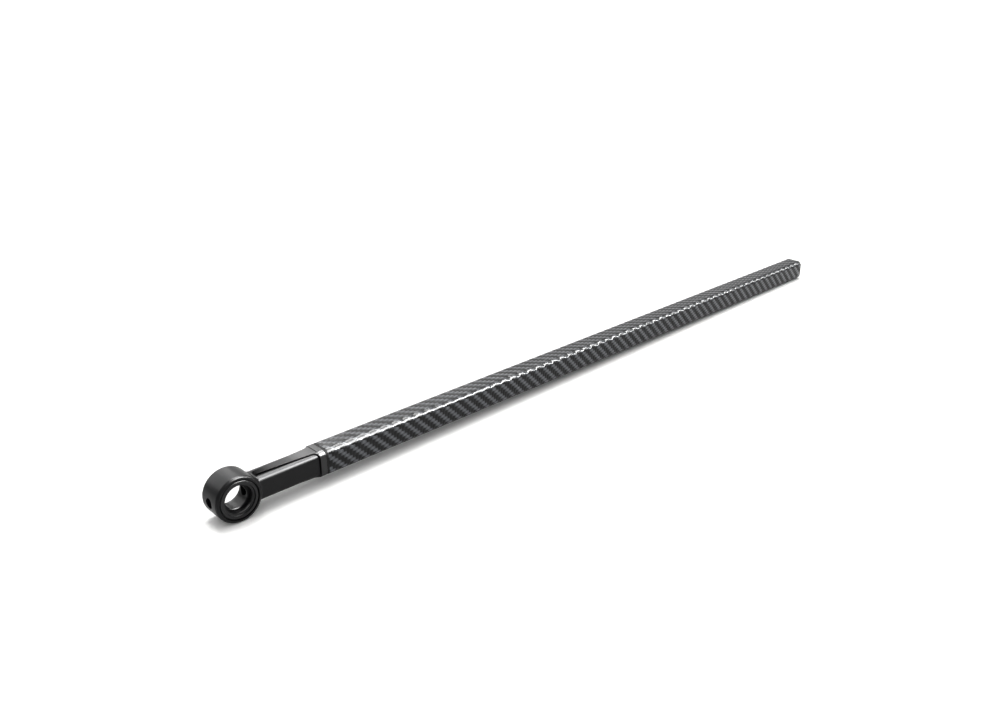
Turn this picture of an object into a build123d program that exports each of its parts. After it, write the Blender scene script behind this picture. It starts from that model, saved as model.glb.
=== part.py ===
from build123d import *
import math
import os

# Kite control bar: a rounded-square carbon tube with a moulded eye head on one end.
# Millimetres. Origin at the centre of the eye, +X along the bar, +Z up, eye bore along Y.

# --- eye head ---
EYE_RADIUS = 13.75            # outside of the ring
EYE_WIDTH = 17.0              # along the bore
EYE_EDGE = 1.8                # rounding of both outer rims
WEB_RADIUS = 6.7              # narrow middle of the bore
WEB_WIDTH = 8.6
WEB_CHAMFER = 0.35
BUSH_SEAT_RADIUS = 10.32
FLANGE_SEAT_RADIUS = 11.8
FLANGE_SEAT_DEPTH = 1.3
KEY_HOLE_RADIUS = 3.05        # tip hole and screw-head pocket, on one axis
HEAD_SEAT_X = 12.6            # shoulder that the screw pulls against

# --- bushes in the mouths of the eye ---
BUSH_INNER_RADIUS = 8.3
BUSH_FLANGE_RADIUS = 11.2
BUSH_FACE_DROP = 0.15         # flange face below the ring's side
BUSH_FACE_EDGE = 0.2          # chamfer round the flange
BUSH_LIP_RADIUS = 9.0         # the flange steps down to a lip near the bore
BUSH_LIP_DROP = 0.9
BUSH_LIP_STEP = 0.1           # the lip lies this much lower still
BUSH_STEP_INNER = 0.3         # foot and top of the slope between face and lip
BUSH_STEP_OUTER = 0.55
PRESS_CLEARANCE = 0.02

# --- fork on the eye head ---
NECK_HALF = 7.15
NECK_CORNER = 3.4
FORK_END_X = 51.7
ROOT_END_X = 19.6             # solid root between the two cheeks
ROOT_HALF_HEIGHT = 4.2
ROOT_FILLET = 2.2
ROOT_SEAM_START_X = 9.0       # stretch where the ring meets the neck
ROOT_SEAM_END_X = 15.0
FORK_GAP = 0.35               # gap between a cheek and the tongue
NOSE_GAP = 0.05               # the tongue's nose nearly touches the root

# --- tongue, collar and spigot ---
TONGUE_START_X = 14.2
TONGUE_HALF_START = 1.9
TONGUE_HALF_END = 4.2
TONGUE_FLARE_X = 48.0         # where the tongue starts to widen into the collar
TONGUE_FLARE_RADIUS = 3.6
TONGUE_TOP = 7.9
TONGUE_BOSS_RADIUS = 3.4
COLLAR_START_X = 51.65
COLLAR_END_X = 55.6
COLLAR_EDGE = 0.25
SPIGOT_END_X = 77.0
SPIGOT_CLEARANCE = 0.1        # between the spigot and the tube's inner wall
LEAD_IN = 0.8                 # chamfer on what is pushed into the tube
SHANK_HOLE_RADIUS = 2.2

# --- carbon tube ---
TUBE_HALF = 8.2
TUBE_CORNER = 4.0
TUBE_WALL = 1.35
TUBE_START_X = 57.0
TUBE_LENGTH = 520.0

# --- clamp ---
SCREW_RADIUS = 2.0            # M4, drawn without its thread
SCREW_HEAD_RADIUS = 2.7
SCREW_HEAD_HEIGHT = 3.5
SCREW_HEX = 3.0               # across flats
SCREW_HEX_DEPTH = 2.2
SCREW_HEAD_EDGE = 0.35
SCREW_POINT_EDGE = 0.5
SCREW_END_X = 98.0
THREAD_CLEARANCE = 0.05
WASHER_THICKNESS = 0.5
WASHER_CLEARANCE = 0.1
WEDGE_HOLE_CLEARANCE = 0.3
WEDGE_START_X = 79.5
WEDGE_END_X = 93.5
WEDGE_HALF_WIDTH = 5.6
WEDGE_HALF_START = 2.9        # half height at its thin end
RAMP_ANGLE = 10.0
RAMP_GAP = 0.04
INSERT_RADIUS = 2.8
INSERT_START_X = 84.0
SHOE_START_X = 77.4
SHOE_END_X = 91.8
SHOE_HALF_WIDTH = 6.5
SHOE_WALL_GAP = 0.04
GARTER_X = 80.0
GARTER_DROP = 0.2             # how far its outside lies below the tube's wall

# --- seals and foam ---
RING_WIDTH = 1.6
RING_DEPTH = 0.9
RING_SOFTNESS = 0.3           # edge rounding, as a share of its thickness
GROOVE_SPARE = 0.08           # groove deeper and wider than its ring
SEAL_GAP = 0.03
SPIGOT_RING_X = (61.0, 71.0)
FOAM_LENGTH = 30.0
FOAM_NEAR_X = 104.0
FOAM_TO_PLUG = 5.0
GASKET_DROP = 0.12            # how far its outside lies below the tube's
GASKET_FACE_GAP = 0.02
GASKET_INNER_GAP = 0.05

# --- far-end plug ---
PLUG_CAP = 1.5                # thickness of its cap
PLUG_CAP_EDGE = 0.9
PLUG_LENGTH = 20.0
PLUG_CLEARANCE = 0.05
PLUG_CORE = 4.6               # half size of the plug's hollow
PLUG_CORE_CORNER = 1.5
PLUG_FLOOR = 2.0
PLUG_RING_TO_END = 14.0

TUBE_END_X = TUBE_START_X + TUBE_LENGTH
PLUG_RING_X = TUBE_END_X - PLUG_RING_TO_END
FOAM_FAR_X = TUBE_END_X - PLUG_LENGTH - FOAM_TO_PLUG - FOAM_LENGTH
BORE_HALF = TUBE_HALF - TUBE_WALL
BORE_CORNER = TUBE_CORNER - TUBE_WALL
SLOPE = math.tan(math.radians(RAMP_ANGLE))
BIG = 40.0                    # larger than any section, for cutting tools


def square_bar(x0, x1, half, corner):
    """Rounded-square bar along X."""
    section = Plane.YZ.offset(x0) * RectangleRounded(2 * half, 2 * half, corner)
    return extrude(section, amount=x1 - x0)


def rod_x(x0, x1, radius):
    """Round rod along X."""
    return extrude(Plane.YZ.offset(x0) * Circle(radius), amount=x1 - x0)


def rod_y(y0, y1, radius):
    """Round rod along Y, on the eye's axis."""
    plane = Plane(origin=(0, y0, 0), x_dir=(1, 0, 0), z_dir=(0, 1, 0))
    return extrude(plane * Circle(radius), amount=y1 - y0)


def block(x0, x1, y0, y1, z0, z1):
    """Plain block between two corners."""
    centre = Pos((x0 + x1) / 2, (y0 + y1) / 2, (z0 + z1) / 2)
    return centre * Box(x1 - x0, y1 - y0, z1 - z0)


def edges_at_x(shape, x):
    """Edges that lie whole in the plane X = x."""
    return shape.edges().filter_by_position(Axis.X, x - 0.001, x + 0.001)


def tongue_plan(gap):
    """Outline of the tongue seen from above, grown by a gap on its sides."""
    y_nose = TONGUE_HALF_START + gap
    y_end = TONGUE_HALF_END + gap
    radius = TONGUE_FLARE_RADIUS - gap
    x_nose = TONGUE_START_X - min(gap, NOSE_GAP)
    x_step = TONGUE_FLARE_X + radius
    with BuildSketch(Plane.XY) as sketch:
        with BuildLine():
            Line((x_nose, -y_nose), (TONGUE_FLARE_X, -y_end))
            JernArc(start=(TONGUE_FLARE_X, -y_end), tangent=(1, 0), radius=radius, arc_size=-90)
            Line((x_step, -y_end - radius), (x_step, -BIG))
            Line((x_step, -BIG), (COLLAR_END_X, -BIG))
            Line((COLLAR_END_X, -BIG), (COLLAR_END_X, 0))
            Line((COLLAR_END_X, 0), (x_nose, 0))
            Line((x_nose, 0), (x_nose, -y_nose))
        make_face()
        mirror(about=Plane.XZ)
    return sketch.sketch


def tongue_space(gap):
    """Everything the tongue may fill, with a gap round it."""
    plate = extrude(tongue_plan(gap), amount=BIG, both=True)
    boss = rod_x(ROOT_END_X - gap, COLLAR_END_X, TONGUE_BOSS_RADIUS + gap)
    root = block(0, ROOT_END_X, -BIG, BIG, -ROOT_HALF_HEIGHT, ROOT_HALF_HEIGHT)
    return plate - root + boss


def seal_ring(x0, outer, corner, depth, width):
    """Rounded-square rubber ring with soft edges."""
    ring = square_bar(x0, x0 + width, outer, corner)
    ring -= square_bar(x0, x0 + width, outer - depth, corner - depth)
    soft = edges_at_x(ring, x0) + edges_at_x(ring, x0 + width)
    return fillet(soft, RING_SOFTNESS * min(depth, width))


def ring_groove(x0, outer, corner, depth, width):
    """Cutting tool for a seal ring's groove."""
    groove = square_bar(x0, x0 + width, outer + 1, corner + 1)
    return groove - square_bar(x0, x0 + width, outer - depth, corner - depth)


def seal_groove(x0, drop=0.0):
    """Groove for a ring that lies a drop below the tube's inner wall."""
    depth = drop + RING_DEPTH + GROOVE_SPARE
    width = RING_WIDTH + 2 * GROOVE_SPARE
    return ring_groove(x0 - GROOVE_SPARE, BORE_HALF, BORE_CORNER, depth, width)


def eye_head():
    """Ring, fork root and the two cheeks, one moulding."""
    half_width = EYE_WIDTH / 2
    neck = square_bar(0, FORK_END_X, NECK_HALF, NECK_CORNER)
    ring = rod_y(-half_width, half_width, EYE_RADIUS)
    ring = fillet(ring.edges().filter_by(GeomType.CIRCLE), EYE_EDGE)
    head = ring + neck
    seam = [
        e for e in head.edges()
        if e.center().X > ROOT_SEAM_START_X and e.bounding_box().max.X < ROOT_SEAM_END_X
    ]
    head = fillet(seam, ROOT_FILLET)
    head -= tongue_space(FORK_GAP)
    head -= rod_y(-half_width, half_width, WEB_RADIUS)
    for side in (-1, 1):
        web_face = side * WEB_WIDTH / 2
        outer_face = side * half_width
        head -= rod_y(web_face, outer_face + side, BUSH_SEAT_RADIUS)
        head -= rod_y(outer_face - side * FLANGE_SEAT_DEPTH, outer_face + side, FLANGE_SEAT_RADIUS)
    web_edges = [
        e for e in head.edges().filter_by(GeomType.CIRCLE)
        if abs(e.radius - WEB_RADIUS) < 0.01 and abs(abs(e.center().Y) - WEB_WIDTH / 2) < 0.01
    ]
    head = chamfer(web_edges, WEB_CHAMFER)
    head -= rod_x(-EYE_RADIUS - 1, HEAD_SEAT_X, KEY_HOLE_RADIUS)
    head -= rod_x(0, FORK_END_X, SHANK_HOLE_RADIUS)
    return head


def tongue_spigot():
    """Tongue, collar and the spigot that fills the tube's mouth, one moulding."""
    tongue = tongue_space(0) & square_bar(0, COLLAR_END_X - COLLAR_EDGE, TONGUE_TOP, NECK_CORNER)
    collar = square_bar(COLLAR_START_X, COLLAR_END_X, TUBE_HALF, TUBE_CORNER)
    collar = fillet(edges_at_x(collar, COLLAR_END_X), COLLAR_EDGE)
    spigot_half = BORE_HALF - SPIGOT_CLEARANCE
    spigot = square_bar(COLLAR_START_X, SPIGOT_END_X, spigot_half, BORE_CORNER - SPIGOT_CLEARANCE)
    spigot = chamfer(edges_at_x(spigot, SPIGOT_END_X), LEAD_IN)
    body = tongue + collar + spigot
    for x in SPIGOT_RING_X:
        body -= seal_groove(x)
    body -= rod_x(0, SPIGOT_END_X + 1, SHANK_HOLE_RADIUS)
    return body


def eye_bush(side):
    """Flanged ring pressed into one mouth of the eye; side is -1 front, +1 rear."""
    seat = EYE_WIDTH / 2 - FLANGE_SEAT_DEPTH
    face = EYE_WIDTH / 2 - BUSH_FACE_DROP
    lip = face - BUSH_LIP_DROP - BUSH_LIP_STEP
    body_radius = BUSH_SEAT_RADIUS - PRESS_CLEARANCE
    profile = [
        (BUSH_INNER_RADIUS, WEB_WIDTH / 2),
        (body_radius, WEB_WIDTH / 2),
        (body_radius, seat),
        (BUSH_FLANGE_RADIUS, seat),
        (BUSH_FLANGE_RADIUS, face - BUSH_FACE_EDGE),
        (BUSH_FLANGE_RADIUS - BUSH_FACE_EDGE, face),
        (BUSH_LIP_RADIUS + BUSH_STEP_OUTER, face),
        (BUSH_LIP_RADIUS + BUSH_STEP_INNER, face - BUSH_LIP_DROP),
        (BUSH_LIP_RADIUS, lip),
        (BUSH_INNER_RADIUS, lip),
    ]
    outline = Polyline(*[(r, side * y, 0) for r, y in profile], close=True)
    return revolve(make_face(outline), axis=Axis.Y)


def clamp_screw():
    """M4 reduced-head cap screw that runs from the eye to the wedge."""
    seat = HEAD_SEAT_X - WASHER_THICKNESS
    face = seat - SCREW_HEAD_HEIGHT
    head = rod_x(face, seat, SCREW_HEAD_RADIUS)
    head = chamfer(edges_at_x(head, face), SCREW_HEAD_EDGE)
    socket = Plane.YZ.offset(face) * RegularPolygon(SCREW_HEX / 2, 6, major_radius=False)
    head -= extrude(socket, amount=SCREW_HEX_DEPTH)
    shank = rod_x(seat, SCREW_END_X, SCREW_RADIUS)
    return head + chamfer(edges_at_x(shank, SCREW_END_X), SCREW_POINT_EDGE)


def thrust_washer():
    """Steel washer between the screw's head and its shoulder."""
    start = HEAD_SEAT_X - WASHER_THICKNESS
    disc = rod_x(start, HEAD_SEAT_X, KEY_HOLE_RADIUS - WASHER_CLEARANCE)
    return disc - rod_x(start, HEAD_SEAT_X, SHANK_HOLE_RADIUS)


def wedge_half(x, gap=0.0):
    """Half height of the wedge's ramp at a place along the bar."""
    return WEDGE_HALF_START + (x - WEDGE_START_X) * SLOPE + gap


def wedge_prism(x0, x1, gap, half_width):
    """Prism between the two ramps."""
    corners = [
        (x0, -wedge_half(x0, gap)), (x1, -wedge_half(x1, gap)),
        (x1, wedge_half(x1, gap)), (x0, wedge_half(x0, gap)),
    ]
    outline = Polyline(*[(x, 0, z) for x, z in corners], close=True)
    return extrude(make_face(outline), amount=half_width, dir=(0, 1, 0), both=True)


def wedge_nut():
    """Double wedge that spreads the two shoes."""
    wedge = wedge_prism(WEDGE_START_X, WEDGE_END_X, 0, WEDGE_HALF_WIDTH)
    wedge -= rod_x(0, SCREW_END_X, SCREW_RADIUS + WEDGE_HOLE_CLEARANCE)
    return wedge - rod_x(INSERT_START_X, SCREW_END_X, INSERT_RADIUS)


def thread_insert():
    """Brass insert that carries the wedge's thread."""
    body = rod_x(INSERT_START_X, WEDGE_END_X, INSERT_RADIUS - PRESS_CLEARANCE)
    return body - rod_x(INSERT_START_X, WEDGE_END_X, SCREW_RADIUS + THREAD_CLEARANCE)


def clamp_shoe(side):
    """Shoe pressed against the tube's inner wall; side is +1 upper, -1 lower."""
    outer = BORE_HALF - SHOE_WALL_GAP
    shoe = square_bar(SHOE_START_X, SHOE_END_X, outer, BORE_CORNER)
    shoe -= wedge_prism(SHOE_START_X - 1, SHOE_END_X + 1, RAMP_GAP, BIG)
    low, high = sorted((0, side * BIG))
    shoe &= block(0, SCREW_END_X, -SHOE_HALF_WIDTH, SHOE_HALF_WIDTH, low, high)
    return shoe - seal_groove(GARTER_X, GARTER_DROP)


def carbon_tube():
    """Rounded-square tube."""
    tube = square_bar(TUBE_START_X, TUBE_END_X, TUBE_HALF, TUBE_CORNER)
    return tube - square_bar(TUBE_START_X, TUBE_END_X, BORE_HALF, BORE_CORNER)


def foam_bulkhead(x0):
    """Closed-cell foam block that keeps the tube from filling."""
    return square_bar(x0, x0 + FOAM_LENGTH, BORE_HALF - SEAL_GAP, BORE_CORNER)


def end_plug():
    """Moulded plug and cap on the far end."""
    start = TUBE_END_X - PLUG_LENGTH
    cap = square_bar(TUBE_END_X, TUBE_END_X + PLUG_CAP, TUBE_HALF, TUBE_CORNER)
    cap = fillet(edges_at_x(cap, TUBE_END_X + PLUG_CAP), PLUG_CAP_EDGE)
    stem = square_bar(start, TUBE_END_X, BORE_HALF - PLUG_CLEARANCE, BORE_CORNER)
    stem = chamfer(edges_at_x(stem, start), LEAD_IN)
    stem -= square_bar(start, TUBE_END_X - PLUG_FLOOR, PLUG_CORE, PLUG_CORE_CORNER)
    stem -= seal_groove(PLUG_RING_X)
    return cap + stem


def tube_seal(x0):
    """Rubber ring that seals against the tube's inner wall."""
    return seal_ring(x0, BORE_HALF - SEAL_GAP, BORE_CORNER, RING_DEPTH, RING_WIDTH)


def collar_gasket():
    """Rubber gasket between the collar and the tube's mouth."""
    start = COLLAR_END_X + GASKET_FACE_GAP
    end = TUBE_START_X - GASKET_FACE_GAP
    gasket = square_bar(start, end, TUBE_HALF - GASKET_DROP, TUBE_CORNER - GASKET_DROP)
    return gasket - square_bar(start, end, BORE_HALF - GASKET_INNER_GAP, BORE_CORNER)


def shoe_garter():
    """Rubber ring that draws the two shoes inwards."""
    outer = BORE_HALF - GARTER_DROP
    return seal_ring(GARTER_X, outer, BORE_CORNER - GARTER_DROP, RING_DEPTH, RING_WIDTH)


PARTS = {
    "eye_head": eye_head(),
    "eye_bush_front": eye_bush(-1),
    "eye_bush_rear": eye_bush(1),
    "tongue_spigot": tongue_spigot(),
    "collar_gasket": collar_gasket(),
    "clamp_screw": clamp_screw(),
    "thrust_washer": thrust_washer(),
    "wedge_nut": wedge_nut(),
    "thread_insert": thread_insert(),
    "clamp_shoe_upper": clamp_shoe(1),
    "clamp_shoe_lower": clamp_shoe(-1),
    "shoe_garter": shoe_garter(),
    "spigot_seal_near": tube_seal(SPIGOT_RING_X[0]),
    "spigot_seal_far": tube_seal(SPIGOT_RING_X[1]),
    "carbon_tube": carbon_tube(),
    "foam_bulkhead_near": foam_bulkhead(FOAM_NEAR_X),
    "foam_bulkhead_far": foam_bulkhead(FOAM_FAR_X),
    "end_plug": end_plug(),
    "end_plug_seal": tube_seal(PLUG_RING_X),
}

os.makedirs("parts", exist_ok=True)
for node, solid in PARTS.items():
    export_step(solid, f"parts/{node}.step")
print("sub-parts:", len(PARTS))
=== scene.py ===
import math

import bmesh
import bpy
import numpy as np
from mathutils import Matrix, Vector


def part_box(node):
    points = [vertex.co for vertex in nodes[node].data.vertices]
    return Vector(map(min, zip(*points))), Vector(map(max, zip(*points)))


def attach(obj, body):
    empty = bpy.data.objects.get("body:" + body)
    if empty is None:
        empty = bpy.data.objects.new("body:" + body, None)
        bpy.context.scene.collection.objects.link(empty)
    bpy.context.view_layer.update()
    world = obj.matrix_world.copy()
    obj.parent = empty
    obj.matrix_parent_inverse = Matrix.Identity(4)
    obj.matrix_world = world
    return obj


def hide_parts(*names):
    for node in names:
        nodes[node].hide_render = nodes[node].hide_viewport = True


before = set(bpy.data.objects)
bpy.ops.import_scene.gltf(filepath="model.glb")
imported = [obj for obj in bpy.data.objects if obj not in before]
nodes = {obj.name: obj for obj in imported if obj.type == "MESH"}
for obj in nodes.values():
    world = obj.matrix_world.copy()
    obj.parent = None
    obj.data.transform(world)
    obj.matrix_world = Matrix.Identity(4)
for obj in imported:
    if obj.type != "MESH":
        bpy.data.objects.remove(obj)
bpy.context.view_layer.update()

mm = 0.001    # lengths are in metres, except where a note says that they are in mm
print("stage: frame loaded,", len(nodes), "nodes")


def srgb(hexText):
    # display value to light: c/12.92 in the dark foot, ((c + 0.055) / 1.055)^2.4 above it
    values = [int(hexText[i:i + 2], 16) / 255 for i in (1, 3, 5)]
    return [c / 12.92 if c <= 0.04045 else ((c + 0.055) / 1.055) ** 2.4 for c in values] + [1.0]


def addNode(tree, kind, settings=None, links=None):
    # one node with its settings (sockets by name or number, else properties) and its incoming links.
    # A Mix node's sockets go by number: 0 is the factor, 2 and 3 are the numbers mixed, 6 and 7 the colours
    node = tree.nodes.new(kind)
    for key, value in (settings or {}).items():
        if isinstance(key, int) or key in node.inputs:
            node.inputs[key].default_value = value
        else:
            setattr(node, key, value)
    for key, source in (links or {}).items():
        tree.links.new(source, node.inputs[key])
    return node


def newMaterial(name, shaderSettings):
    material = bpy.data.materials.new(name)
    material.use_nodes = True
    tree = material.node_tree
    tree.nodes.clear()
    shader = addNode(tree, "ShaderNodeBsdfPrincipled", shaderSettings)
    addNode(tree, "ShaderNodeOutputMaterial", links={"Surface": shader.outputs["BSDF"]})
    return material, tree, shader


def newObject(name, data):
    made = bpy.data.objects.new(name, data)
    bpy.context.scene.collection.objects.link(made)
    return made


def dress(piece, material, body):
    piece.data.materials.clear()
    piece.data.materials.append(material)
    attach(piece, body)


def dressNode(name, material):
    for index in range(len(nodes[name].data.materials)):
        nodes[name].data.materials[index] = material
    if not nodes[name].data.materials:
        nodes[name].data.materials.append(material)


carbonLook = {
    "towsAround": 29,            # whole tows round the tube, each a little over 2 mm wide
    "helixTows": 1,              # the cloth advances this many tows a turn, which closes the twill on itself
    "floatTows": 2.0,            # a tow passes over this many others, then under as many
    "archPower": 0.5,            # arch across a tow: 1 is a plain sine, less is flatter with steeper sides
    # the fibres are black; the grey of the tows that run along the bar is painted sheen, brightest on their
    # crowns
    "paintedSheenTow": "#727478",
    "darkTow": "#050506",
    "edgePaintedSheen": 0.22,           # share of the painted sheen colour at a lit tow's edges, then the painted highlight that its crown adds
    "crownPaintedHighlight": 0.55,
    "streakLight": 0.16,
    "blotchLight": 0.20,
    "darkened": 0.16,            # taken off the whole, which keeps the other tows black
    "streakStretch": (0.35, 8.0),    # steps of noise in a tow's width, along the tow and across it
    "blotchScale": 0.35,
    "roughAlong": 0.28,
    "roughAround": 0.42,
    "weaveBump": 0.8,
    "crownHeight": 0.30,         # mm between the valleys and the crowns of the cloth
    "coatWave": (0.07, 0.42),    # mm of wave in the clear coat, far more than a real one's, so that it shows:
    "flattedTo": (165, 240),     # the first up to 165 mm along, where it was flatted, the other from 240 mm
    "diagonalShare": 0.5,        # how much of the wave follows the twill; the rest is slow blotches
}


def twillWeave(tree, inTows):
    # 2x2 twill laid out on the cloth map, with places counted in tows. A row's tow is on top where
    # (along + row) mod 4 is under 2, so each row's floats are shifted by one tow against the row before
    look = carbonLook
    split = addNode(tree, "ShaderNodeSeparateXYZ", links={0: inTows})
    along = addNode(tree, "ShaderNodeMath",
                    {"operation": "MULTIPLY_ADD", 1: look["helixTows"] / look["towsAround"]},
                    {0: split.outputs["Y"], 2: split.outputs["X"]}).outputs[0]
    around = addNode(tree, "ShaderNodeMath", {"operation": "MULTIPLY", 1: -1.0},
                     {0: split.outputs["Y"]}).outputs[0]
    phases = []
    for own, crossed in ((along, around), (around, along)):
        # place within a float: own place plus the number of the tow, modulo two floats
        cell = addNode(tree, "ShaderNodeMath", {"operation": "FLOOR"}, {0: crossed}).outputs[0]
        run = addNode(tree, "ShaderNodeMath", {"operation": "ADD"}, {0: own, 1: cell}).outputs[0]
        phases.append(addNode(tree, "ShaderNodeMath",
                              {"operation": "FLOORED_MODULO", 1: 2 * look["floatTows"]}, {0: run}).outputs[0])
    alongOnTop = addNode(tree, "ShaderNodeMath", {"operation": "LESS_THAN", 1: look["floatTows"]},
                         {0: phases[0]}).outputs[0]
    heights = []
    for phase, side in ((phases[0], around), (phases[1], along)):
        # height of a float: sine of half a turn along its two cells, times an arch across the tow
        arch = addNode(tree, "ShaderNodeMath", {"operation": "MULTIPLY", 1: math.pi / look["floatTows"]},
                       {0: phase})
        arch = addNode(tree, "ShaderNodeMath", {"operation": "SINE"}, {0: arch.outputs[0]})
        arch = addNode(tree, "ShaderNodeMath", {"operation": "ABSOLUTE"}, {0: arch.outputs[0]})
        cross = addNode(tree, "ShaderNodeMath", {"operation": "MULTIPLY", 1: math.pi}, {0: side})
        cross = addNode(tree, "ShaderNodeMath", {"operation": "SINE"}, {0: cross.outputs[0]})
        cross = addNode(tree, "ShaderNodeMath", {"operation": "ABSOLUTE"}, {0: cross.outputs[0]})
        cross = addNode(tree, "ShaderNodeMath", {"operation": "POWER", 1: look["archPower"]},
                        {0: cross.outputs[0]})
        heights.append(addNode(tree, "ShaderNodeMath", {"operation": "MULTIPLY"},
                               {0: arch.outputs[0], 1: cross.outputs[0]}).outputs[0])
    height = addNode(tree, "ShaderNodeMix", {"data_type": "FLOAT"},
                     {0: alongOnTop, 2: heights[1], 3: heights[0]}).outputs[0]
    return along, around, alongOnTop, height


def towStreaks(tree, inTows, alongOnTop):
    # filament streaks lie along each tow; the real ones are 0.007 mm, drawn about 0.25 mm so that they show
    slow, fast = carbonLook["streakStretch"]
    streaks = []
    for stretch in ((slow, fast, 1.0), (fast, slow, 1.0)):
        drawn = addNode(tree, "ShaderNodeVectorMath", {"operation": "MULTIPLY", 1: stretch}, {0: inTows})
        streaks.append(addNode(tree, "ShaderNodeTexNoise", {"Scale": 1.0, "Detail": 2.0},
                               {"Vector": drawn.outputs[0]}).outputs[0])
    return addNode(tree, "ShaderNodeMix", {"data_type": "FLOAT"},
                   {0: alongOnTop, 2: streaks[1], 3: streaks[0]}).outputs[0]


def towColour(tree, height, alongOnTop, streak, blotch):
    # share of the painted sheen colour: a tow that runs along the bar gets painted sheen, shaded towards its
    # edges with a painted highlight on its crown; streaks and slow blotches are added to all tows, and a little
    # is taken off again
    look = carbonLook
    share = addNode(tree, "ShaderNodeMath",
                    {"operation": "MULTIPLY_ADD", 1: look["crownPaintedHighlight"], 2: look["edgePaintedSheen"]},
                    {0: height}).outputs[0]
    share = addNode(tree, "ShaderNodeMath", {"operation": "MULTIPLY"}, {0: share, 1: alongOnTop}).outputs[0]
    share = addNode(tree, "ShaderNodeMath", {"operation": "MULTIPLY_ADD", 1: look["streakLight"]},
                    {0: streak, 2: share}).outputs[0]
    share = addNode(tree, "ShaderNodeMath", {"operation": "MULTIPLY_ADD", 1: look["blotchLight"]},
                    {0: blotch, 2: share}).outputs[0]
    share = addNode(tree, "ShaderNodeMath", {"operation": "SUBTRACT", 1: look["darkened"], "use_clamp": True},
                    {0: share}).outputs[0]
    return addNode(tree, "ShaderNodeMix",
                   {"data_type": "RGBA", 6: srgb(look["darkTow"]), 7: srgb(look["paintedSheenTow"])},
                   {0: share}).outputs[2]


def coatWave(tree, along, around, blotch, towWidth):
    # the coat rides over the twill's diagonal: a sine of the sum of both places, one wave every four tows,
    # plus the blotches, and all of it times a depth that grows from the flatted stretch outwards
    look = carbonLook
    diagonal = addNode(tree, "ShaderNodeMath", {"operation": "ADD"}, {0: along, 1: around}).outputs[0]
    diagonal = addNode(tree, "ShaderNodeMath", {"operation": "MULTIPLY", 1: math.pi / look["floatTows"]},
                       {0: diagonal}).outputs[0]
    diagonal = addNode(tree, "ShaderNodeMath", {"operation": "SINE"}, {0: diagonal}).outputs[0]
    wave = addNode(tree, "ShaderNodeMath", {"operation": "MULTIPLY_ADD", 1: look["diagonalShare"]},
                   {0: diagonal, 2: blotch}).outputs[0]
    flatEnd, fullStart = [x * mm / towWidth for x in look["flattedTo"]]
    shallow, deep = look["coatWave"]
    depth = addNode(tree, "ShaderNodeMapRange",
                    {"From Min": flatEnd, "From Max": fullStart, "To Min": shallow, "To Max": deep},
                    {"Value": along}).outputs[0]
    return addNode(tree, "ShaderNodeMath", {"operation": "MULTIPLY"}, {0: wave, 1: depth}).outputs[0]


def clearcoatedTwillCarbon(towWidth):
    # 2x2 twill of 3K carbon under a wet clear coat: black floats in diagonal steps, those that run along the bar
    # with a painted grey sheen, glassy on top, with the weave just printing through the gloss
    material, tree, shader = newMaterial("clearcoatedTwillCarbon", {
        "Metallic": 0.0, "Specular IOR Level": 0.12,
        "Coat Weight": 0.50, "Coat Roughness": 0.05, "Coat IOR": 1.45,
    })
    place = addNode(tree, "ShaderNodeUVMap", {"uv_map": "towMap"})
    inTows = addNode(tree, "ShaderNodeVectorMath", {"operation": "SCALE", "Scale": 1 / towWidth},
                     {0: place.outputs["UV"]}).outputs[0]
    along, around, alongOnTop, height = twillWeave(tree, inTows)
    streak = towStreaks(tree, inTows, alongOnTop)
    blotch = addNode(tree, "ShaderNodeTexNoise", {"Scale": carbonLook["blotchScale"], "Detail": 3.0},
                     {"Vector": inTows}).outputs[0]
    # the base colour holds the painted sheen and crown highlights of the tows that run along the bar
    tree.links.new(towColour(tree, height, alongOnTop, streak, blotch), shader.inputs["Base Color"])
    # fibres that run along the bar throw a sharp line of light, those that run round it spread it out
    gloss = addNode(tree, "ShaderNodeMix",
                    {"data_type": "FLOAT", 2: carbonLook["roughAround"], 3: carbonLook["roughAlong"]},
                    {0: alongOnTop}).outputs[0]
    tree.links.new(gloss, shader.inputs["Roughness"])
    weaveBump = addNode(tree, "ShaderNodeBump",
                        {"Strength": carbonLook["weaveBump"], "Distance": carbonLook["crownHeight"] * mm},
                        {"Height": height})
    tree.links.new(weaveBump.outputs[0], shader.inputs["Normal"])
    coatBump = addNode(tree, "ShaderNodeBump", {"Strength": 1.0, "Distance": mm},
                       {"Height": coatWave(tree, along, around, blotch, towWidth)})
    tree.links.new(coatBump.outputs[0], shader.inputs["Coat Normal"])
    return material


noiseBand = (0.3, 0.7)           # a noise mostly keeps between these, so they span the gloss range

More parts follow.
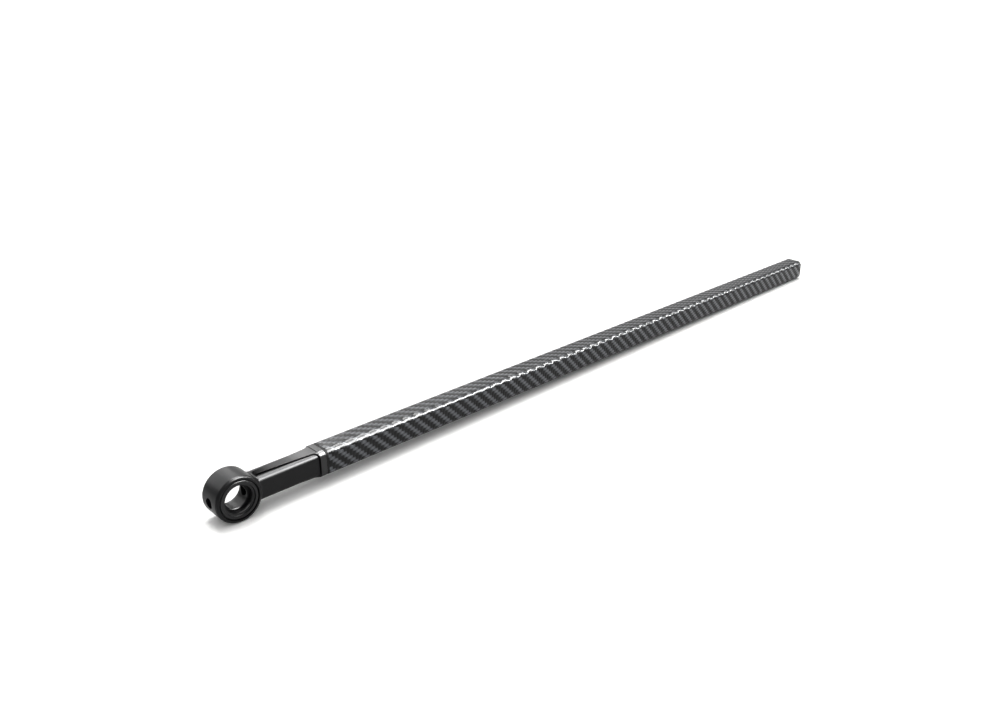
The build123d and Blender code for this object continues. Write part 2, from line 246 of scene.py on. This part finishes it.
plasticLooks = {                 # grain and cloud are the sizes of the fine grain and the slow changes, in mm
    "satinBlackNylonHead": {
        "dark": "#09090b", "light": "#121214", "specular": 0.30, "ior": 1.5, "gloss": (0.30, 0.38),
        "grain": 0.25, "cloud": 9.0, "bump": 0.35},
    "satinBlackNylonTongue": {
        "dark": "#0b0b0d", "light": "#151517", "specular": 0.60, "ior": 1.5, "gloss": (0.28, 0.36),
        "grain": 0.25, "cloud": 9.0, "bump": 0.35},
    "blackAcetalBush": {
        "dark": "#0c0c0e", "light": "#151518", "specular": 0.5, "ior": 1.48, "gloss": (0.30, 0.40),
        "grain": 0.35, "cloud": 5.0, "bump": 0.2},
    "mattSealRubber": {
        "dark": "#070707", "light": "#0d0d0d", "specular": 0.25, "ior": 1.52, "gloss": (0.62, 0.75),
        "grain": 0.18, "cloud": 3.0, "bump": 0.5},
    "satinBlackPlug": {
        "dark": "#08080a", "light": "#121214", "specular": 0.38, "ior": 1.5, "gloss": (0.34, 0.44),
        "grain": 0.25, "cloud": 6.0, "bump": 0.35},
    "plainNylonShoe": {
        "dark": "#1c1c1e", "light": "#27282a", "specular": 0.45, "ior": 1.5, "gloss": (0.42, 0.55),
        "grain": 0.3, "cloud": 4.0, "bump": 0.35},
    "closedCellFoam": {
        "dark": "#b9b7ab", "light": "#d6d4c9", "specular": 0.3, "ior": 1.45, "gloss": (0.8, 0.95),
        "grain": 0.8, "cloud": 6.0, "bump": 1.0},
}
grainHeight = 0.02 * mm


def mouldedPlastic(name, look):
    # plastic, rubber or foam from a spark-eroded mould: one even colour broken by a fine satin grain, with
    # slow changes in tone and gloss where the melt cooled unevenly
    material, tree, shader = newMaterial(name, {"Specular IOR Level": look["specular"], "IOR": look["ior"]})
    place = addNode(tree, "ShaderNodeTexCoord").outputs["Object"]
    grain = addNode(tree, "ShaderNodeTexNoise",
                    {"Scale": 1 / (look["grain"] * mm), "Detail": 3.0, "Roughness": 0.6},
                    {"Vector": place}).outputs[0]
    cloud = addNode(tree, "ShaderNodeTexNoise", {"Scale": 1 / (look["cloud"] * mm), "Detail": 4.0},
                    {"Vector": place}).outputs[0]
    colour = addNode(tree, "ShaderNodeMix",
                     {"data_type": "RGBA", 6: srgb(look["dark"]), 7: srgb(look["light"])},
                     {0: cloud}).outputs[2]
    gloss = addNode(tree, "ShaderNodeMapRange",
                    {"From Min": noiseBand[0], "From Max": noiseBand[1],
                     "To Min": look["gloss"][0], "To Max": look["gloss"][1]},
                    {"Value": cloud}).outputs[0]
    bump = addNode(tree, "ShaderNodeBump", {"Strength": look["bump"], "Distance": grainHeight},
                   {"Height": grain}).outputs[0]
    tree.links.new(colour, shader.inputs["Base Color"])
    tree.links.new(gloss, shader.inputs["Roughness"])
    tree.links.new(bump, shader.inputs["Normal"])
    return material


metalLooks = {                   # stretch draws the tool lines out along an axis or two; line is their width, mm
    "turnedStainless": {
        "colour": "#c4c5c7", "stretch": (0.06, 1.0, 1.0), "line": 0.12, "gloss": (0.22, 0.34)},
    "milledAluminium": {
        "colour": "#cfd1d4", "stretch": (1.0, 0.06, 1.0), "line": 0.15, "gloss": (0.28, 0.40)},
    "turnedBrass": {
        "colour": "#c9a95c", "stretch": (1.0, 0.1, 0.1), "line": 0.12, "gloss": (0.2, 0.32)},
}
toolLineHeight = 0.01 * mm


def machinedMetal(name, look):
    # bare metal as it came off the lathe or mill: fine tool lines, and a slightly uneven gloss
    material, tree, shader = newMaterial(name, {"Metallic": 1.0, "Base Color": srgb(look["colour"])})
    place = addNode(tree, "ShaderNodeTexCoord").outputs["Object"]
    drawn = addNode(tree, "ShaderNodeMapping", {"Scale": look["stretch"]}, {"Vector": place}).outputs[0]
    lines = addNode(tree, "ShaderNodeTexNoise", {"Scale": 1 / (look["line"] * mm), "Detail": 2.0},
                    {"Vector": drawn}).outputs[0]
    gloss = addNode(tree, "ShaderNodeMapRange",
                    {"From Min": noiseBand[0], "From Max": noiseBand[1],
                     "To Min": look["gloss"][0], "To Max": look["gloss"][1]},
                    {"Value": lines}).outputs[0]
    bump = addNode(tree, "ShaderNodeBump", {"Strength": 0.3, "Distance": toolLineHeight},
                   {"Height": lines}).outputs[0]
    tree.links.new(gloss, shader.inputs["Roughness"])
    tree.links.new(bump, shader.inputs["Normal"])
    return material


plastics = {name: mouldedPlastic(name, look) for name, look in plasticLooks.items()}
metals = {name: machinedMetal(name, look) for name, look in metalLooks.items()}
print("stage: materials made")


tubeShape = {
    "corner": 4.0 * mm,          # radius of the outside's four long edges
    "wall": 1.35 * mm,
    "rim": 0.12 * mm,            # radius of the rounding on the cut ends
    "perCorner": 25,             # points on each part of the grid
    "perFlat": 9,
    "perRim": 4,
    "lengthsOutside": 130,
    "lengthsInside": 12,
    "weld": 0.001 * mm,
}


def roundedSquare(half, corner, perCorner, perFlat):
    # (y, z) round a square of half width half: four quarter circles of radius corner joined by straight
    # flats, anticlockwise seen from +X, from the middle of the underside; also the length run so far
    flat = half - corner
    quarter = np.linspace(0, np.pi / 2, perCorner)
    straight = np.linspace(-flat, flat, perFlat)[1:-1]
    sides = []
    for turn in range(4):
        angle = turn * np.pi / 2
        side = np.stack([straight, np.full(perFlat - 2, -half)], axis=-1)
        arc = np.stack([flat + corner * np.sin(quarter), -flat - corner * np.cos(quarter)], axis=-1)
        spin = np.array([[np.cos(angle), np.sin(angle)], [-np.sin(angle), np.cos(angle)]])
        sides.append(np.vstack([side, arc]) @ spin)
    loop = np.roll(np.vstack(sides), -((perFlat - 2) // 2), axis=0)
    step = np.linalg.norm(np.roll(loop, -1, axis=0) - loop, axis=1)
    run = np.concatenate([[0], np.cumsum(step)])
    return loop, run


def wallOutline(low, high):
    # (place along, depth below the outside) round the cut wall: out along the outside, over a tiny rounded
    # rim, back along the inside, and over the other rim
    wall, rim = tubeShape["wall"], tubeShape["rim"]
    quarter = np.linspace(0, np.pi / 2, tubeShape["perRim"])
    rise, reach = rim * np.sin(quarter), rim * np.cos(quarter)
    start, end = low.x + rim, high.x - rim
    outside = np.linspace(start, end, tubeShape["lengthsOutside"])
    inside = np.linspace(end, start, tubeShape["lengthsInside"])[1:]
    return np.hstack([
        (outside, np.zeros_like(outside)),
        (end + rise[1:], rim - reach[1:]),
        (end + reach, wall - rim + rise),
        (inside, np.full_like(inside, wall)),
        (start - rise[1:], wall - rim + reach[1:]),
        (start - reach[:-1], rim - rise[:-1]),
    ]).T


def tubePiece(name, points, clothMap):
    # points is an array (rows, columns, 3). Quads join each row to the next and the last row to the first;
    # the last column lies on the first, so the two are welded, and the cloth map keeps its own edge there
    rows, columns = points.shape[:2]
    row = np.arange(rows * columns).reshape(rows, columns)
    nextRow = np.roll(row, -1, axis=0)
    quads = np.stack([row[:, :-1], row[:, 1:], nextRow[:, 1:], nextRow[:, :-1]], axis=-1).reshape(-1, 4)
    mesh = bpy.data.meshes.new(name)
    mesh.from_pydata(points.reshape(-1, 3).tolist(), [], quads.tolist())
    mesh.validate()
    mesh.polygons.foreach_set("use_smooth", np.ones(len(mesh.polygons), dtype=bool))
    layer = mesh.uv_layers.new(name="towMap")
    corners = np.zeros(len(mesh.loops), dtype=np.int64)
    mesh.loops.foreach_get("vertex_index", corners)
    layer.data.foreach_set("uv", clothMap.reshape(-1, 2)[corners].astype(np.float32).ravel())
    mesh.update()
    work = bmesh.new()
    work.from_mesh(mesh)
    bmesh.ops.remove_doubles(work, verts=work.verts, dist=tubeShape["weld"])
    work.to_mesh(mesh)
    work.free()
    return newObject(name, mesh)


def makeCarbonTube():
    # the wall's outline is carried round the rounded square: a point at depth d below the outside lies
    # d / wall of the way from the outer section to the inner one
    low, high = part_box("carbon_tube")
    half = (high.y - low.y) / 2
    corner, wall = tubeShape["corner"], tubeShape["wall"]
    outline = wallOutline(low, high)
    outer, run = roundedSquare(half, corner, tubeShape["perCorner"], tubeShape["perFlat"])
    inner = roundedSquare(half - wall, corner - wall, tubeShape["perCorner"], tubeShape["perFlat"])[0]
    outer, inner = (np.vstack([loop, loop[:1]]) for loop in (outer, inner))
    depth = (outline[:, 1] / wall)[:, None, None]
    section = outer[None] * (1 - depth) + inner[None] * depth
    along = np.broadcast_to(outline[:, :1], section.shape[:2])
    clothMap = np.dstack([along, np.broadcast_to(run, section.shape[:2])])    # metres along and round the bar
    piece = tubePiece("carbonTube", np.dstack([along, section]), clothMap)
    dress(piece, clearcoatedTwillCarbon(run[-1] / carbonLook["towsAround"]), "bar")
    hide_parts("carbon_tube")


makeCarbonTube()
print("stage: carbon tube made")


mouldedPieces = {
    "eye_head": {"name": "eyeHead", "edge": 0.14 * mm, "hasNoseSeam": True,
                 "material": "satinBlackNylonHead", "slot": "moulded_nylon"},
    "tongue_spigot": {"name": "tongueAndSpigot", "edge": 0.30 * mm, "hasNoseSeam": True,
                      "material": "satinBlackNylonTongue", "slot": "ribbed_nylon"},
    "end_plug": {"name": "endPlug", "edge": 0.1 * mm, "hasNoseSeam": False,
                 "material": "satinBlackPlug", "slot": "plug_plastic"},
    "collar_gasket": {"name": "collarGasket", "edge": 0.15 * mm, "hasNoseSeam": False,
                      "material": "mattSealRubber", "slot": "seal_rubber"},
}
edgeRounding = {
    "weld": 0.002 * mm,
    "flatWithin": 0.4,           # degrees: triangles that meet flatter than this are joined again
    "sharpOver": 28,             # degrees: edges that turn more than this get the moulded radius
    "segments": 3,
    "noseSeam": (12 * mm, 14.6 * mm, 2.4 * mm),    # from and to along the bar, and how far to each side
}


def inNoseSeam(edge):
    seamStart, seamEnd, seamSide = edgeRounding["noseSeam"]
    middle = (edge.verts[0].co + edge.verts[1].co) / 2
    return seamStart < middle.x < seamEnd and abs(middle.y) < seamSide


def softenedCopy(node, settings):
    # a welded copy of the CAD mesh: its flat faces are joined again and its sharp edges get a small radius,
    # except in the tight seam round the tongue's nose, which stays sharp
    work = bmesh.new()
    work.from_mesh(nodes[node].data)
    bmesh.ops.remove_doubles(work, verts=work.verts, dist=edgeRounding["weld"])
    bmesh.ops.dissolve_limit(work, angle_limit=math.radians(edgeRounding["flatWithin"]),
                             verts=work.verts, edges=work.edges)
    weight = work.edges.layers.float.new("bevel_weight_edge")
    sharp = math.radians(edgeRounding["sharpOver"])
    for edge in work.edges:
        keptSharp = settings["hasNoseSeam"] and inNoseSeam(edge)
        edge[weight] = 1.0 if edge.calc_face_angle(0.0) > sharp and not keptSharp else 0.0
    mesh = bpy.data.meshes.new(settings["name"])
    work.to_mesh(mesh)
    work.free()
    cadNormals = mesh.attributes.get("custom_normal")
    if cadNormals:
        mesh.attributes.remove(cadNormals)
    mesh.polygons.foreach_set("use_smooth", np.ones(len(mesh.polygons), dtype=bool))
    piece = newObject(settings["name"], mesh)
    bevel = piece.modifiers.new("mouldRadius", "BEVEL")
    bevel.width = settings["edge"]
    bevel.segments = edgeRounding["segments"]
    bevel.limit_method = "WEIGHT"
    bevel.harden_normals = True
    bevel.use_clamp_overlap = True
    dress(piece, plastics[settings["material"]], "bar")
    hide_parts(node)


for nodeName, settings in mouldedPieces.items():
    softenedCopy(nodeName, settings)
print("stage: moulded pieces made")


keptNodes = {                    # CAD nodes whose shape stays as it is
    "eye_bush_front": plastics["blackAcetalBush"],
    "eye_bush_rear": plastics["blackAcetalBush"],
    "clamp_screw": metals["turnedStainless"],
    "thrust_washer": metals["turnedStainless"],
    "wedge_nut": metals["milledAluminium"],
    "thread_insert": metals["turnedBrass"],
    "clamp_shoe_upper": plastics["plainNylonShoe"],
    "clamp_shoe_lower": plastics["plainNylonShoe"],
    "shoe_garter": plastics["mattSealRubber"],
    "spigot_seal_near": plastics["mattSealRubber"],
    "spigot_seal_far": plastics["mattSealRubber"],
    "end_plug_seal": plastics["mattSealRubber"],
    "foam_bulkhead_near": plastics["closedCellFoam"],
    "foam_bulkhead_far": plastics["closedCellFoam"],
}
for nodeName, material in keptNodes.items():
    dressNode(nodeName, material)
print("stage: hidden and small nodes dressed")


paperLook = {
    "size": 30.0,                # far larger than the object, so that its edge is a long way off
    "colour": "#f6f6f5",
    "roughness": 0.9,
    "specular": 0.2,
    "fibre": 1.5 * mm,
    "fibreHeight": 0.05 * mm,
    "fibreBump": 0.05,
}


def seamlessPaper():
    # uncoated studio paper: near white and matt, with a faint felt of fibres
    material, tree, shader = newMaterial("seamlessPaper", {
        "Base Color": srgb(paperLook["colour"]),
        "Roughness": paperLook["roughness"], "Specular IOR Level": paperLook["specular"],
    })
    place = addNode(tree, "ShaderNodeTexCoord").outputs["Object"]
    fibre = addNode(tree, "ShaderNodeTexNoise", {"Scale": 1 / paperLook["fibre"]},
                    {"Vector": place}).outputs[0]
    bump = addNode(tree, "ShaderNodeBump",
                   {"Strength": paperLook["fibreBump"], "Distance": paperLook["fibreHeight"]},
                   {"Height": fibre}).outputs[0]
    tree.links.new(bump, shader.inputs["Normal"])
    return material


def makeFloor():
    # a flat sheet that touches the ring and the far end's underside, so it tilts very slightly along the bar
    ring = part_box("eye_head")[0].z
    tubeLow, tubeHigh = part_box("carbon_tube")
    slope = (tubeLow.z - ring) / tubeHigh.x
    reach = paperLook["size"] / 2
    corners = [(x, y, ring + slope * x) for x, y in
               ((-reach, -reach), (reach, -reach), (reach, reach), (-reach, reach))]
    mesh = bpy.data.meshes.new("paperFloor")
    mesh.from_pydata(corners, [], [(0, 1, 2, 3)])
    mesh.materials.append(seamlessPaper())
    newObject("paperFloor", mesh)


roomLight = {
    "paperLight": 1.02,          # brightness of the even white room that lights the paper and matt surfaces
    "horizon": 0.48,             # brightness that gloss shows of the room, at eye level and overhead
    "zenith": 1.40,
    "keyFrom": (0.06, 0.16, 0.98),    # the key light hangs almost straight above, a little behind
    "keyStrength": 1.30,
    "keyWidth": 18.0,            # degrees across, which sets how soft the shadow's edge is
    "gamma": 0.78,               # darkens the middle greys, as a contrasty print does
}

# boxes that show only as reflections in the gloss; the room and the key light the paper. Places are in metres
softboxes = {
    "nearStrip": {
        "place": (0.49, -0.65, 1.0), "aim": (0.49, -0.65, 0.0), "size": (0.58, 1.0), "brightness": 38.0},
    "midStrip": {
        "place": (1.04, -0.80, 1.0), "aim": (1.04, -0.80, 0.0), "size": (0.52, 0.7), "brightness": 52.0},
    "farStrip": {
        "place": (2.10, -0.95, 1.0), "aim": (2.10, -0.95, 0.0), "size": (1.60, 0.4), "brightness": 54.0},
    "overheadBox": {
        "place": (0.45, 0.45, 1.1), "aim": (0.45, 0.45, 0.0), "size": (0.80, 0.9), "brightness": 19.0},
    "backWallNear": {
        "place": (-0.10, 2.60, 1.3), "aim": (0.0, 0.0, 0.0), "size": (3.4, 1.8), "brightness": 2.9},
    "backWallFar": {
        "place": (2.90, 2.60, 1.3), "aim": (0.3, 0.0, 0.0), "size": (2.6, 1.8), "brightness": 0.9},
}


def makeRoom():
    world = bpy.data.worlds.new("whiteStudio")
    bpy.context.scene.world = world
    world.use_nodes = True
    tree = world.node_tree
    background = tree.nodes["Background"]
    # the room that gloss sees brightens steadily with the sine of the height above the horizon
    height = addNode(tree, "ShaderNodeTexCoord").outputs["Generated"]
    height = addNode(tree, "ShaderNodeSeparateXYZ", links={0: height}).outputs["Z"]
    glow = addNode(tree, "ShaderNodeMapRange",
                   {"From Min": 0.0, "From Max": 1.0, "To Min": roomLight["horizon"],
                    "To Max": roomLight["zenith"]}, {"Value": height}).outputs[0]
    glossy = addNode(tree, "ShaderNodeLightPath").outputs["Is Glossy Ray"]
    level = addNode(tree, "ShaderNodeMix", {"data_type": "FLOAT", 2: roomLight["paperLight"]},
                    {0: glossy, 3: glow}).outputs[0]
    background.inputs["Color"].default_value = (1.0, 1.0, 1.0, 1.0)
    tree.links.new(level, background.inputs["Strength"])


def makeSoftbox(name, box):
    # a box of even brightness sends out its area times brightness times pi
    lamp = bpy.data.lights.new(name, "AREA")
    lamp.shape = "RECTANGLE"
    lamp.size, lamp.size_y = box["size"]
    lamp.energy = box["brightness"] * math.pi * lamp.size * lamp.size_y
    holder = newObject(name, lamp)
    holder.location = box["place"]
    towards = Vector(box["aim"]) - Vector(box["place"])
    holder.rotation_euler = towards.to_track_quat("-Z", "Y").to_euler()
    holder.visible_diffuse = False
    holder.visible_camera = False


def makeKeyLight():
    key = bpy.data.lights.new("keyLight", "SUN")
    key.energy = roomLight["keyStrength"]
    key.angle = math.radians(roomLight["keyWidth"])
    holder = newObject("keyLight", key)
    holder.rotation_euler = Vector(roomLight["keyFrom"]).to_track_quat("Z", "Y").to_euler()
    holder.visible_glossy = False


cameraPlace = {
    "position": (-190.12, -413.41, 262.88),    # mm from the eye's centre
    "azimuth": -43.351,          # degrees
    "elevation": 23.003,
    "roll": -0.358,
    "lens": 33.197,              # mm
    "sensor": 36.0,
    "clip": (0.01, 100.0),       # metres
}


def makeCamera():
    # the camera looks back along the direction that azimuth and elevation give, then rolls about it
    camera = bpy.data.cameras.new("camera")
    camera.lens = cameraPlace["lens"]
    camera.sensor_width = cameraPlace["sensor"]
    camera.clip_start, camera.clip_end = cameraPlace["clip"]
    azimuth, elevation, roll = (math.radians(cameraPlace[k]) for k in ("azimuth", "elevation", "roll"))
    back = Vector((math.sin(azimuth) * math.cos(elevation), -math.cos(azimuth) * math.cos(elevation),
                   math.sin(elevation)))
    turn = (-back).to_track_quat("-Z", "Y").to_matrix() @ Matrix.Rotation(roll, 3, "Z")
    holder = newObject("camera", camera)
    holder.matrix_world = Matrix.Translation(Vector(cameraPlace["position"]) * mm) @ turn.to_4x4()
    bpy.context.scene.camera = holder


makeFloor()
makeRoom()
for boxName, box in softboxes.items():
    makeSoftbox(boxName, box)
makeKeyLight()
makeCamera()
bpy.context.scene.view_settings.view_transform = "Standard"
bpy.context.scene.view_settings.gamma = roomLight["gamma"]
print("stage: studio made")
